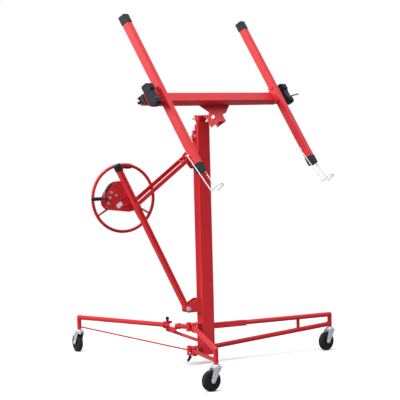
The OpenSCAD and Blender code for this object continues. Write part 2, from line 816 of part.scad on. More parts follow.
module winch_pivot_bolt() {
    color(zinc) at_mast() {
        y_rod(strut_foot, -clevis_y - 2, clevis_y + 2, strut_pin_r);
        hex_y(strut_foot, -clevis_y - 9.5, 7.5, 19);
        hex_y(strut_foot, clevis_y + 2, 10, 19);
        y_rod(link_pin, -42, 42, link_pin_r);
        hex_y(link_pin, -48.5, 6.5, 17);
        hex_y(link_pin, 42, 8, 17);
    }
}

module winch_strut() {
    r = strut_d / 2;
    color(red) at_strut() difference() {
        cylinder(r = r, h = strut_len - 3);
        translate([0, 0, 24]) cylinder(r = r - 2.5, h = strut_len);
        rotate([90, 0, 0]) translate([0, 0, -30]) cylinder(r = strut_pin_r + fit, h = 60);
    }
    color(red) at_mast() {
        difference() {
            for (p = standoffs) y_rod(p, 8, near_y, 9);
            translate(strut_foot) rotate([0, -strut_lean, 0]) cylinder(r = r - 1, h = strut_len);
        }
        for (s = [-1, 1]) y_rod(hook_pin, s < 0 ? -45 : 14, s < 0 ? -14 : 41.5, 5);
    }
}

module strut_cap() {
    r = strut_d / 2;
    color(black) at_strut() translate([0, 0, strut_len - 29]) difference() {
        cylinder(r = r + 2, h = 32);
        translate([0, 0, -1]) cylinder(r = r, h = 27);
    }
}

module frame_outline() {
    difference() {
        polygon([[-515, 822], [-486, 816], [-402, 805], [-364, 813], [-356, 826], [-364, 850],
                 [-388, 880], [-424, 962], [-446, 962], [-464, 960], [-484, 952], [-504, 932],
                 [-520, 909], [-533, 883], [-538, 868], [-534, 842]]);
        translate([wheel_axis[0], wheel_axis[2]]) circle(shaft_r + fit);
        translate([drum_axis[0], drum_axis[2]]) circle(shaft_r + fit);
    }
}

module winch_frame() {
    color(red) at_mast() {
        side_plate(far_y, frame_t) difference() {
            frame_outline();
            for (p = frame_posts) translate([p[0], p[2]]) circle(post_bolt_r);
        }
        side_plate(near_y, frame_t) difference() {
            union() {
                frame_outline();
                polygon([[-374, 812], [-349, 766], [-328, 766], [-326, 776], [-338, 806], [-358, 832]]);
            }
            for (p = near_screws) translate([p[0], p[2]]) circle(post_bolt_r);
        }
        side_plate(near_y + frame_t, far_y - near_y - frame_t)
            polygon([[-486, 816], [-402, 805], [-374, 811], [-374, 815], [-402, 809], [-486, 820]]);
    }
}

module frame_bolts() {
    color(zinc) at_mast() {
        for (p = frame_posts) {
            y_rod(p, near_y + frame_t, far_y + frame_t, post_bolt_r);
            hex_y(p, far_y + frame_t, 6, 13);
        }
        for (p = near_screws) {
            y_rod(p, near_y, near_y + frame_t, post_bolt_r);
            hex_y(p, near_y - 5, 5, 13);
        }
    }
}

module cable_drum() {
    color(zinc) at_mast() {
        y_rod(drum_axis, near_y - 4, far_y + 8, shaft_r);
        for (y = [flange_y, flange_y + flange_t + drum_len])
            y_rod(drum_axis, y, y + flange_t, 50);
        y_rod(drum_axis, flange_y + flange_t, flange_y + flange_t + drum_len, drum_r);
    }
}

module wound_cable() {
    wire = 2.2;
    layer = 6;
    color([0.55, 0.56, 0.58]) at_mast() translate([drum_axis[0], flange_y + flange_t, drum_axis[2]])
        rotate([-90, 0, 0]) rotate_extrude() {
            translate([drum_r, 0]) square([layer, drum_len]);
            for (i = [0:4]) translate([drum_r + layer, (2 * i + 1) * wire]) circle(wire, $fn = 24);
        }
}

module drum_gear() {
    color([0.20, 0.20, 0.22]) at_mast() side_plate(50, 8)
        translate([drum_axis[0], drum_axis[2]]) difference() {
            rotate(gear_dir + 180 + 180 / gear_teeth) gear_2d(gear_teeth, 2.0, 2.9, 0.18);
            circle(shaft_r);
        }
}

module pinion_shaft() {
    color([0.45, 0.46, 0.48]) at_mast() {
        y_rod(wheel_axis, near_y - 2, wheel_y + 16, shaft_r);
        side_plate(48, 11) translate([wheel_axis[0], wheel_axis[2]]) rotate(gear_dir)
            gear_2d(pinion_teeth, 2.0, 2.9, 0.7);
    }
}

module hand_wheel() {
    ring = hand_wheel_d / 2 - rim_r;
    color(red) at_mast() translate([wheel_axis[0], wheel_y, wheel_axis[2]]) rotate([-90, 0, 0]) {
        rotate_extrude($fn = 96) translate([ring, 0]) circle(rim_r, $fn = 24);
        difference() {
            translate([0, 0, -14]) cylinder(r = 15, h = 26);
            translate([0, 0, -20]) cylinder(r = shaft_r, h = 40);
        }
        for (a = [90, 210, 330]) rotate(-a) rod([13, 0, 0], [ring, 0, 0], 5);
        rotate(-crank_angle) translate([ring, 0, 0]) cylinder(r = 4, h = rim_r + 99);
    }
}

module crank_grip() {
    ring = hand_wheel_d / 2 - rim_r;
    color(black) at_mast() translate([wheel_axis[0] + ring * cos(crank_angle), wheel_y + rim_r + gap,
                                      wheel_axis[2] + ring * sin(crank_angle)])
        rotate([-90, 0, 0]) difference() {
            rotate_extrude() polygon([[2, 0], [9, 0], [11, 3], [13, 30], [14, 60], [13, 88], [10, 94],
                                      [2, 95]]);
            translate([0, 0, -1]) cylinder(r = 4 + fit, h = 100);
        }
}

module brake_lever() {
    color(zinc) at_mast() {
        y_rod(lever_pin, near_y - 10, near_y - gap, 6);
        rod([-530, near_y - 7, 879], [-566, near_y - 9, 879], 4);
    }
    color(black) at_mast() rod([-562, near_y - 9, 879], [-612, near_y - 9, 879], 9);
}

// Pair of flat bars that hook over the strut's cross pin
module link_bars() {
    back = 14;
    finger = 14;
    color(red) at_mast() {
        for (s = [-1, 1]) side_plate(s * link_y - link_bar_t / 2, link_bar_t)
            translate([link_pin[0], link_pin[2]]) rotate(link_slope) difference() {
                union() {
                    translate([-link_span - back, -link_bar_w / 2]) square([link_span + back, link_bar_w]);
                    circle(link_bar_w / 2);
                    translate([-link_span - back, -link_bar_w / 2 - finger]) square([7, finger + 1]);
                }
                circle(link_pin_r + fit);
            }
        spacer = link_pin - 46 * [cos(link_slope), 0, sin(link_slope)];
        y_rod(spacer, -link_y + link_bar_t / 2, link_y - link_bar_t / 2, 6);
    }
}

module link_bracket() {
    color(red) at_mast() {
        for (s = [-1, 1]) side_plate(s * bracket_y - 2, 4) difference() {
            polygon([[-mast_w / 2 - 4, bracket_low], [-mast_w / 2 - 4, bracket_high], [-80, bracket_high],
                     [-94, bracket_high - 14], [-90, bracket_low + 50], [-50, bracket_low]]);
            translate([link_pin[0], link_pin[2]]) circle(link_pin_r);
        }
        translate([-mast_w / 2 - 4, -bracket_y - 2, bracket_low])
            cube([4, 2 * bracket_y + 4, bracket_high - bracket_low]);
    }
}

mast_outer();
outer_guide_pads();
mast_pulley();
pulley_pin();
hinge_bracket();
leg_hinge_pins();
leg_left();
leg_front();
leg_fixed();
leg_socket();
socket_bolts();
leg_lock();
lock_plunger();
leg_latch_pin();
caster_fork_left();
caster_hub_left();
caster_tyre_left();
caster_fork_front();
caster_hub_front();
caster_tyre_front();
caster_fork_right();
caster_hub_right();
caster_tyre_right();
mast_middle();
middle_guide_pads();
mast_inner();
head_block();
swivel_latch_pin();
swivel_head();
swivel_nut();
tilt_bolt();
cradle_beam();
cradle_yoke();
cradle_arms();
arm_end_caps();
arm_saddles();
saddle_bolts();
outrigger_left();
outrigger_right();
panel_rest_left();
panel_rest_right();
outrigger_lever_left();
outrigger_lever_right();
panel_hook_left();
panel_hook_right();
winch_clevis();
winch_pivot_bolt();
winch_strut();
strut_cap();
winch_frame();
frame_bolts();
cable_drum();
wound_cable();
drum_gear();
pinion_shaft();
hand_wheel();
crank_grip();
brake_lever();
link_bars();
link_bracket();
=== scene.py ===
"""Drywall lift: materials, small parts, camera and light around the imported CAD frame. Metres."""

import json
import math
import random

import bmesh
import bpy
from mathutils import Matrix, Vector


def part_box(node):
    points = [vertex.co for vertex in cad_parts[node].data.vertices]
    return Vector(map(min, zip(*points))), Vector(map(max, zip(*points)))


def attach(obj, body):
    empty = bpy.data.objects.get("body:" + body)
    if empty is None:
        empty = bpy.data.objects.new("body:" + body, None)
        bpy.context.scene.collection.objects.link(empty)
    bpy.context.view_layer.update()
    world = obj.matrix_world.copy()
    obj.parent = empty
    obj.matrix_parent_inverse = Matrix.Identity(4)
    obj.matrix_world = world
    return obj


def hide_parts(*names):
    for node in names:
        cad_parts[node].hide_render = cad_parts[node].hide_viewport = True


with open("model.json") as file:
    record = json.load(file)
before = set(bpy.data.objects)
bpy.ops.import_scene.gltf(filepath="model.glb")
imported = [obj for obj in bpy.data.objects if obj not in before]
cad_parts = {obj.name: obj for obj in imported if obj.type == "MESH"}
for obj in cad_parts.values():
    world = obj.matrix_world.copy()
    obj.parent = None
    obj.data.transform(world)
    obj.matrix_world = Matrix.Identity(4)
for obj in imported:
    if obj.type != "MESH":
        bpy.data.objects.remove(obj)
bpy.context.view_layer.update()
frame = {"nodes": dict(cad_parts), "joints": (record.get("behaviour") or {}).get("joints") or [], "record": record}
random.seed(7)

MM = 0.001
joints = {j["name"]: j for j in frame["joints"]}


def joint_at(name):
    """A joint's place in the frame."""
    return Vector(joints[name]["pos_m"])


# ---------- places, worked out from the frame ----------

UP = Vector((0, 0, 1))
MAST = joint_at("head_swivel")
MAST.z = 0.0


def frame_matrix(origin, x_axis, z_axis):
    """Matrix of a right-handed local frame from its origin, X axis and Z axis."""
    x = Vector(x_axis).normalized()
    z = Vector(z_axis).normalized()
    y = z.cross(x)
    turn = Matrix((x, y, z)).transposed().to_4x4()
    return Matrix.Translation(origin) @ turn


tilt_joint = joints["cradle_tilt"]
tilt = math.radians(-tilt_joint["range_deg"][0])
along_beam = Vector(tilt_joint["axis"]).normalized()
forward = along_beam.cross(UP)
out_of_panel = forward * math.sin(tilt) + UP * math.cos(tilt)
CRADLE = frame_matrix(joint_at("cradle_tilt"), along_beam, out_of_panel)
beam_middle = (joint_at("lever_swing_left") + joint_at("lever_swing_right")) / 2
BEAM = frame_matrix(beam_middle, along_beam, out_of_panel)
SIDES = {"left": -1, "right": 1}

strut_foot = joint_at("winch_fold")
# The strut leans toward the winch side, and the link bars run up from it to the mast at LINK_SLOPE
STRUT_LEAN = math.radians(26.48)
LINK_SLOPE = math.radians(36.2)
CAP_LIP_AT = 811 * MM
STRUT = frame_matrix(strut_foot, Vector((math.cos(STRUT_LEAN), 0, math.sin(STRUT_LEAN))),
                     Vector((-math.sin(STRUT_LEAN), 0, math.cos(STRUT_LEAN))))


def hook_frame(name):
    """Cradle directions, with the origin on a hook's pivot at the middle of its arm."""
    return frame_matrix(joint_at(f"hook_swing_{name}"), along_beam, out_of_panel)


def arm_frame(name):
    """The hook's frame moved to the middle of the arm's length and section."""
    return hook_frame(name) @ Matrix.Translation((0, 345 * MM, 13.5 * MM))


def leg_frame(name):
    """Frame on the floor under a folding leg's hinge, X toward its caster, and the leg's length."""
    hinge = joint_at(f"{name}_leg_fold")
    post = joint_at(f"caster_swivel_{name}")
    out = post - hinge
    out.z = 0
    foot = hinge.copy()
    foot.z = 0
    return frame_matrix(foot, out, UP), out.length


def fixed_leg_frame():
    """The same for the fixed leg, from the mast's foot."""
    post = joint_at("caster_swivel_right")
    return frame_matrix(MAST, Vector((1, 0, 0)), UP), (post - MAST).x


def caster_frame(name):
    """Frame on the floor under a caster's swivel, X toward the axle."""
    post = joint_at(f"caster_swivel_{name}")
    axle = joint_at(f"caster_roll_{name}")
    trail = axle - post
    trail.z = 0
    post.z = 0
    return frame_matrix(post, trail, UP)


# ---------- materials ----------

def new_material(name, color, roughness, metallic=0.0, **sockets):
    """Principled material, its node tree and its shader; sockets are named with underscores for spaces."""
    mat = bpy.data.materials.new(name)
    mat.use_nodes = True
    shader = mat.node_tree.nodes["Principled BSDF"]
    shader.inputs["Base Color"].default_value = (*color, 1)
    shader.inputs["Roughness"].default_value = roughness
    shader.inputs["Metallic"].default_value = metallic
    for socket, value in sockets.items():
        shader.inputs[socket.replace("_", " ")].default_value = value
    return mat, mat.node_tree, shader


def noise(tree, scale, detail=3.0, roughness=0.5, stretch=(1, 1, 1)):
    """Noise factor in object coordinates."""
    coords = tree.nodes.new("ShaderNodeTexCoord")
    mapping = tree.nodes.new("ShaderNodeMapping")
    mapping.inputs["Scale"].default_value = stretch
    tex = tree.nodes.new("ShaderNodeTexNoise")
    tex.inputs["Scale"].default_value = scale
    tex.inputs["Detail"].default_value = detail
    tex.inputs["Roughness"].default_value = roughness
    tree.links.new(coords.outputs["Object"], mapping.inputs["Vector"])
    tree.links.new(mapping.outputs["Vector"], tex.inputs["Vector"])
    return tex.outputs["Fac"]


def ramp(tree, factor, stops):
    """Colour ramp over a factor; stops is a list of (position, colour)."""
    node = tree.nodes.new("ShaderNodeValToRGB")
    while len(node.color_ramp.elements) < len(stops):
        node.color_ramp.elements.new(0.5)
    for element, (place, color) in zip(node.color_ramp.elements, stops):
        element.position = place
        element.color = (*color, 1) if len(color) == 3 else color
    tree.links.new(factor, node.inputs["Fac"])
    return node.outputs["Color"]


def grey(value):
    """Neutral colour of one brightness."""
    return (value, value, value)


def bump(tree, shader, height, strength, distance):
    """Adds a bump from a height socket, on top of any bump already there."""
    node = tree.nodes.new("ShaderNodeBump")
    node.inputs["Strength"].default_value = strength
    node.inputs["Distance"].default_value = distance
    previous = shader.inputs["Normal"].links
    if previous:
        tree.links.new(previous[0].from_socket, node.inputs["Normal"])
    tree.links.new(height, node.inputs["Height"])
    tree.links.new(node.outputs["Normal"], shader.inputs["Normal"])


def paint(name, color, dark):
    """Gloss powder coat: faint colour drift, orange peel, and paint thinned and dulled along the edges."""
    mat, tree, shader = new_material(name, color, 0.4, Specular_IOR_Level=0.3)
    drift = ramp(tree, noise(tree, 4.0, 3.0), [(0.3, dark), (0.7, color)])
    worn = edge_wear(tree, drift, tuple(min(1.0, c * 1.25 + 0.02) for c in color))
    tree.links.new(worn, shader.inputs["Base Color"])
    scuffs = noise(tree, 25.0, 3.0, 0.5, (1.0, 1.0, 0.4))
    tree.links.new(ramp(tree, scuffs, [(0.35, grey(0.34)), (0.7, grey(0.46))]), shader.inputs["Roughness"])
    bump(tree, shader, noise(tree, 190.0, 1.0), 0.03, 0.0003)
    return mat


def edge_wear(tree, base, light):
    """Mixes a lighter tone in along convex edges."""
    geometry = tree.nodes.new("ShaderNodeNewGeometry")
    factor = ramp(tree, geometry.outputs["Pointiness"], [(0.52, grey(0.0)), (0.60, grey(0.6))])
    mix = tree.nodes.new("ShaderNodeMix")
    mix.data_type = "RGBA"
    tree.links.new(factor, mix.inputs["Factor"])
    tree.links.new(base, mix.inputs["A"])
    mix.inputs["B"].default_value = (*light, 1)
    return mix.outputs["Result"]


def plastic(name, color, light, grain=1500.0, gloss=0.4):
    """Moulded plastic with a fine spark-eroded grain and slightly shiny high spots."""
    mat, tree, shader = new_material(name, color, 0.5, Specular_IOR_Level=gloss)
    tone = ramp(tree, noise(tree, 22.0, 4.0), [(0.3, color), (0.75, light)])
    tree.links.new(tone, shader.inputs["Base Color"])
    tree.links.new(ramp(tree, noise(tree, 90.0, 3.0), [(0.3, grey(0.4)), (0.7, grey(0.58))]),
                   shader.inputs["Roughness"])
    bump(tree, shader, noise(tree, grain, 2.0), 0.3, 0.0003)
    return mat


def plated(name, color, dark, low, high, spangle=260.0, metal=1.0):
    """Zinc plate: crystalline tone patches with uneven roughness."""
    mat, tree, shader = new_material(name, color, 0.3, metal)
    coords = tree.nodes.new("ShaderNodeTexCoord")
    cells = tree.nodes.new("ShaderNodeTexVoronoi")
    cells.inputs["Scale"].default_value = spangle
    tree.links.new(coords.outputs["Object"], cells.inputs["Vector"])
    tone = ramp(tree, cells.outputs["Distance"], [(0.0, color), (0.9, dark)])
    tree.links.new(tone, shader.inputs["Base Color"])
    tree.links.new(ramp(tree, noise(tree, 120.0, 4.0), [(0.3, grey(low)), (0.7, grey(high))]),
                   shader.inputs["Roughness"])
    bump(tree, shader, noise(tree, 700.0, 2.0), 0.12, 0.0003)
    return mat


def rubber(name):
    """Dusty matt rubber."""
    mat, tree, shader = new_material(name, (0.010, 0.014, 0.019), 0.7, Specular_IOR_Level=0.2)
    dust = ramp(tree, noise(tree, 45.0, 5.0), [(0.35, (0.008, 0.011, 0.015)), (0.75, (0.022, 0.026, 0.031))])
    tree.links.new(dust, shader.inputs["Base Color"])
    bump(tree, shader, noise(tree, 900.0, 3.0), 0.35, 0.0004)
    return mat


RED = paint("red_powder_coat", (0.55, 0.010, 0.018), (0.48, 0.008, 0.014))
BLACK = plastic("black_plastic", (0.007, 0.011, 0.016), (0.016, 0.022, 0.029), gloss=0.2)
NYLON = plastic("natural_nylon", (0.72, 0.72, 0.66), (0.80, 0.80, 0.76), 600.0)
LABEL = plastic("blank_label", (0.74, 0.77, 0.82), (0.84, 0.86, 0.88), 400.0)
ZINC = plated("zinc_plate", (0.78, 0.80, 0.83), (0.62, 0.65, 0.70), 0.2, 0.38, metal=0.6)
STEEL = plated("oiled_gear_steel", (0.17, 0.17, 0.18), (0.10, 0.10, 0.11), 0.3, 0.5, 900.0)
ROPE = plated("wire_rope", (0.42, 0.43, 0.45), (0.28, 0.29, 0.31), 0.3, 0.5, 1800.0)
TYRE = rubber("caster_rubber")
BY_SLOT = {"red_paint": RED, "black_plastic": BLACK, "zinc": ZINC, "nylon": NYLON,
           "rubber": TYRE, "cable": ROPE, "gear_steel": STEEL}

ROUND_EDGES = {"wound_cable": 0, "drum_gear": 0.15, "pinion_shaft": 0.15}
for part in frame["record"]["subparts"]:
    node = frame["nodes"][part["node"]]
    node.data.materials.clear()
    node.data.materials.append(BY_SLOT[part["material_slot"]])
    edge = ROUND_EDGES.get(part["node"], 0.7)
    if edge:
        soften = node.modifiers.new("soft_edges", "BEVEL")
        soften.width = edge * MM
        soften.segments = 2
        soften.limit_method = "ANGLE"
        soften.angle_limit = math.radians(38)
        soften.harden_normals = True
        soften.use_clamp_overlap = True


# ---------- shape helpers ----------

def finish_piece(name, bm, mat, body, smooth=True, place=None):
    """Turns the mesh being built into a piece that rides on a body and takes a material slot."""
    if place is not None:
        bm.transform(place)
    bmesh.ops.recalc_face_normals(bm, faces=bm.faces)
    mesh = bpy.data.meshes.new(name)
    bm.to_mesh(mesh)
    bm.free()
    for face in mesh.polygons:
        face.use_smooth = smooth
    mesh.materials.append(mat)
    piece = bpy.data.objects.new(name, mesh)
    bpy.context.collection.objects.link(piece)
    if smooth:
        mesh.set_sharp_from_angle(angle=math.radians(40))
    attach(piece, body)
    return piece


def lathe(bm, profile, place=Matrix(), sides=48):
    """Adds a solid of revolution about local Z. profile is a list of (radius, height)."""
    rings = []
    for radius, height in profile:
        if radius < 1e-6:
            rings.append([bm.verts.new(place @ Vector((0, 0, height)))])
            continue
        ring = [bm.verts.new(place @ Vector((radius * math.cos(a), radius * math.sin(a), height)))
                for a in (2 * math.pi * i / sides for i in range(sides))]
        rings.append(ring)
    closed = profile[0] == profile[-1]
    if closed:
        rings[-1] = rings[0]
    for low, high in zip(rings, rings[1:]):
        for i in range(sides):
            k = (i + 1) % sides
            corners = [low[i % len(low)], low[k % len(low)], high[k % len(high)], high[i % len(high)]]
            unique = list(dict.fromkeys(corners))
            if len(unique) > 2:
                bm.faces.new(unique)


def sweep(bm, points, radius_at, sides=10, closed=False):
    """Adds a tube along points; radius_at(i) gives each ring's radius."""
    count = len(points)
    rings = []
    normal = None
    for i, point in enumerate(points):
        after = points[(i + 1) % count] if closed or i + 1 < count else point
        before = points[i - 1] if closed or i else point
        tangent = (after - before).normalized()
        if normal is None:
            normal = tangent.orthogonal().normalized()
        normal = (normal - tangent * normal.dot(tangent)).normalized()
        side = tangent.cross(normal)
        radius = radius_at(i)
        rings.append([bm.verts.new(point + radius * (normal * math.cos(a) + side * math.sin(a)))
                      for a in (2 * math.pi * k / sides for k in range(sides))])
    pairs = list(zip(rings, rings[1:]))
    if closed:
        best = min(range(sides), key=lambda s: (rings[-1][0].co - rings[0][s].co).length)
        pairs.append((rings[-1], rings[0][best:] + rings[0][:best]))
    for low, high in pairs:
        for k in range(sides):
            n = (k + 1) % sides
            bm.faces.new((low[k], low[n], high[n], high[k]))
    if not closed:
        bm.faces.new(rings[0])
        bm.faces.new(rings[-1])


def resample(points, step, closed):
    """Even points along a polyline."""
    line = list(points) + ([points[0]] if closed else [])
    out = []
    for a, b in zip(line, line[1:]):
        parts = max(1, round((b - a).length / step))
        out.extend(a.lerp(b, k / parts) for k in range(parts))
    if not closed:
        out.append(line[-1])
    return out


def bead(bm, points, radius=2.2 * MM, closed=False):
    """Weld bead: a rippled, slightly wandering half-sunk cord along a joint."""
    path = resample(points, radius * 0.45, closed)
    wander = [Vector([random.uniform(-1, 1) for _ in range(3)]) * radius * 0.07 for _ in path]
    path = [p + w for p, w in zip(path, wander)]
    sweep(bm, path, lambda i: radius * (0.86 + 0.2 * abs(math.sin(i * 0.8))), 8, closed)


def circle(centre, radius, axis, count=40):
    """Points round a circle square to an axis."""
    axis = Vector(axis).normalized()
    side = axis.orthogonal().normalized()
    other = axis.cross(side)
    return [centre + radius * (side * math.cos(a) + other * math.sin(a))
            for a in (2 * math.pi * i / count for i in range(count))]


def tube_meeting(centre_line, tube_r, other_at, other_dir, other_r, count=48):
    """Points where a round tube's skin meets a larger or equal round member, seen along the tube."""
    axis = Vector(centre_line).normalized()
    across = Vector(other_dir).normalized()
    third = axis.cross(across).normalized()
    points = []
    for i in range(count):
        a = 2 * math.pi * i / count
        off = tube_r * math.cos(a)
        lift = tube_r * math.sin(a)
        depth = math.sqrt(max(other_r ** 2 - off ** 2, 0))
        points.append(other_at + third * off + across * lift + axis * depth)
    return points


def label(name, place, w, h, body):
    """Blank rounded plate, 0.6 mm thick, lying on the local XY plane."""
    bm = bmesh.new()
    corner = 2.5 * MM
    rim = []
    for cx, cy, start in ((1, 1, 0), (-1, 1, 90), (-1, -1, 180), (1, -1, 270)):
        for k in range(5):
            a = math.radians(start + 22.5 * k)
            rim.append(Vector((cx * (w / 2 - corner) + corner * math.cos(a),
                               cy * (h / 2 - corner) + corner * math.sin(a), 0)))
    low = [bm.verts.new(p) for p in rim]
    high = [bm.verts.new(p * 0.985 + Vector((0, 0, 0.6 * MM))) for p in rim]
    bm.faces.new(low)
    bm.faces.new(high)
    for i in range(len(rim)):
        k = (i + 1) % len(rim)
        bm.faces.new((low[i], low[k], high[k], high[i]))
    finish_piece(name, bm, LABEL, body, False, place)


def washer(bm, place, hole, outer, thick=1.6 * MM):
    """Chamfered washer on the local XY plane."""
    c = 0.3 * MM
    lathe(bm, [(hole, 0), (outer - c, 0), (outer, c), (outer, thick - c), (outer - c, thick), (hole, thick),
               (hole, 0)], place, 36)


# ---------- base ----------

LEG_R = 12.7 * MM
# Heights in millimetres of the leg tube, of the lower member at its hinge, and of its outer end
LEG_Z = 192
LOW_MEMBER_Z = 70
LOW_END_Z = 141
# Fixed leg's short strut, from the mast
LEG_STRUT_AT = 561 * MM


def mast_point(x, y, z):
    """A point given in millimetres from the mast's foot on the floor."""
    return MAST + Vector((x, y, z)) * MM


def mast_line(*points):
    """The same for a list of points."""
    return [mast_point(*p) for p in points]


def base_welds():
    """Beads where the brackets and the fixed leg meet the mast."""
    bm = bmesh.new()
    for s in (-1, 1):
        for y, low, high, radius in ((24, 50, 212, 2.2), (24.2, 273, 341, 2.2), (31.2, 1014, 1096, 1.6)):
            bead(bm, mast_line((-35, s * y, low), (-35, s * y, high)), radius * MM)
        bead(bm, mast_line((35.3, s * 15.7, 177), (35.3, s * 15.7, 205)), 2.2 * MM)
    for x, y, z, radius in ((-39, 24, 213, 2.4), (-39, 24, 49, 2.4), (-35.5, 22, 272, 2), (-35.5, 22, 342, 2),
                            (-35.5, 30, 1012, 2), (-35.5, 30, 1098, 2)):
        bead(bm, mast_line((x, -y, z), (x, y, z)), radius * MM)
    bead(bm, mast_line((35.3, -14, 64), (35.3, 14, 64), (35.3, 14, 100), (35.3, -14, 100), (35.3, -14, 64)),
         2.2 * MM)
    finish_piece("base_welds", bm, RED, "base")


def fixed_leg_welds():
    """Beads under the leg tube at the caster, at the low tube's outer end and round the short strut."""
    bm = bmesh.new()
    place, length = fixed_leg_frame()
    bead(bm, circle(place @ Vector((length, 0, 179.6 * MM)), 12.2 * MM, UP), 1.9 * MM, True)
    low_end = place @ Vector((length - 13 * MM, 0, LOW_END_Z * MM))
    bead(bm, circle(low_end, 12.9 * MM, (1, 0, -0.1)), 1.9 * MM, True)
    strut = place @ Vector((LEG_STRUT_AT, 0, 0))
    for z, lean in ((179.9, 0), (137.4, 0.1)):
        bead(bm, circle(strut + UP * z * MM, 9.2 * MM, (lean, 0, 1)), 1.8 * MM, True)
    finish_piece("fixed_leg_welds", bm, RED, "base")


def folding_leg_welds(name, low_r):
    """Beads where both members meet the hinge and the caster's sleeve; low_r is the low member's radius."""
    bm = bmesh.new()
    place, length = leg_frame(name)
    for z in (LEG_Z, LOW_MEMBER_Z):
        r = LEG_R if z == LEG_Z else low_r * MM
        axis = place.to_3x3() @ Vector((1, 0, 0))
        ring = tube_meeting(axis, r, place @ Vector((0, 0, z * MM)), UP, 14.2 * MM)
        bead(bm, ring, 1.8 * MM, True)
    bead(bm, circle(place @ Vector((length, 0, 179.6 * MM)), 12.2 * MM, UP), 1.9 * MM, True)
    slope = Vector((length, 0, (LOW_END_Z - LOW_MEMBER_Z) * MM)).normalized()
    low_end = place @ (Vector((length, 0, LOW_END_Z * MM)) - slope * 12.4 * MM)
    bead(bm, circle(low_end, low_r * MM, place.to_3x3() @ slope), 1.5 * MM, True)
    finish_piece(f"{name}_leg_welds", bm, RED, f"{name}_leg")


# Places along the left leg from its hinge, in millimetres
COLLARS = (61, 167)
LABEL_ENDS = (88, 122)


def left_leg_collars():
    """Two collars that the lock's saddle sits between."""
    bm = bmesh.new()
    place, _ = leg_frame("left")
    along = place @ Matrix.Translation((0, 0, LEG_Z * MM)) @ Matrix.Rotation(math.radians(90), 4, "Y")
    inner = LEG_R - 0.1 * MM
    for start in COLLARS:
        at = along @ Matrix.Translation((0, 0, start * MM))
        lathe(bm, [(inner, 0), (15.6 * MM, 0), (16.6 * MM, 1 * MM), (16.6 * MM, 8 * MM), (15.6 * MM, 9 * MM),
                   (inner, 9 * MM), (inner, 0)], at, 40)
    finish_piece("left_leg_collars", bm, RED, "left_leg")


def left_leg_label():
    """Blank plate wrapped round the tube: two ends, each an inner and an outer arc."""
    bm = bmesh.new()
    place, _ = leg_frame("left")
    rings = []
    for x in LABEL_ENDS:
        rings.append([])
        for lift in (0.1, 0.6):
            arc = []
            for a in range(-45, 76, 8):
                out = Vector((0, math.cos(math.radians(a)), math.sin(math.radians(a))))
                middle = Vector((x * MM, 0, LEG_Z * MM))
                arc.append(bm.verts.new(place @ (middle + (LEG_R + lift * MM) * out)))
            rings[-1].append(arc)
    (a0, a1), (b0, b1) = rings
    for i in range(len(a0) - 1):
        bm.faces.new((a1[i], a1[i + 1], b1[i + 1], b1[i]))
        bm.faces.new((a0[i], b0[i], b0[i + 1], a0[i + 1]))
        bm.faces.new((a0[i], a0[i + 1], a1[i + 1], a1[i]))
        bm.faces.new((b0[i], b1[i], b1[i + 1], b0[i + 1]))
    for i in (0, len(a0) - 1):
        bm.faces.new((a0[i], a1[i], b1[i], b0[i]))
    finish_piece("left_leg_label", bm, LABEL, "left_leg")


def base_washers():
    """Washers under the bolt that the winch strut folds on."""
    bm = bmesh.new()
    for s in (-1, 1):
        side = frame_matrix(mast_point(-111, s * 23.8, 292), (1, 0, 0), (0, s, 0))
        washer(bm, side, 6.2 * MM, 12 * MM)
    finish_piece("base_washers", bm, ZINC, "base")


def knob_collar():
    """Moulded skirt and a low boss on the lock's ball knob."""
    bm = bmesh.new()
    low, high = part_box("lock_plunger")
    centre = (low + high) / 2
    ball = high.z - 9.5 * MM
    place = Matrix.Translation((centre.x, centre.y, ball))
    skirt = [(8.6, -4.4), (9.9, -3.2), (10.2, -1.6), (9.9, 0), (9.3, 0.4), (8.6, -4.4)]
    lathe(bm, [(r * MM, h * MM) for r, h in skirt], place, 40)
    boss = [(0, 10.4), (2.4, 10.2), (3.6, 9.2), (3.8, 8.4), (0, 8.4)]
    lathe(bm, [(r * MM, h * MM) for r, h in boss], place, 32)
    finish_piece("lock_knob_skirt", bm, BLACK, "lock_plunger")


# Thin ends of the two lock pins: how far each is sunk into its pin, its length, and the latch pin's place in
# millimetres from the mast's foot
PIN_END_SINK = 0.5 * MM
PIN_END_LENGTH = 9.5 * MM
LATCH_PIN_AT = (-101, -6)


def pin_ends():
    """Thin zinc ends that keep the lock pins engaged through their travel; the CAD stems are shorter."""
    for node, body, at_top in (("lock_plunger", "lock_plunger", False), ("leg_latch_pin", "latch_pin", True)):
        low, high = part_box(node)
        bm = bmesh.new()
        if at_top:
            start, long = high.z - PIN_END_SINK, PIN_END_LENGTH
            x, y = mast_point(*LATCH_PIN_AT, 0).xy
        else:
            start, long = low.z + PIN_END_SINK, -PIN_END_LENGTH
            x, y = (low.x + high.x) / 2, (low.y + high.y) / 2
        profile = [(0, 0), (3.2, 0), (3.2, 0.9), (2.6, 1), (0, 1)]
        lathe(bm, [(radius * MM, h * long) for radius, h in profile], Matrix.Translation((x, y, start)), 32)
        finish_piece(f"{node}_end", bm, ZINC, body)


# ---------- casters ----------

# Axle's place from the foot of the swivel, in millimetres
TRAIL = 30
AXLE_Z = 50


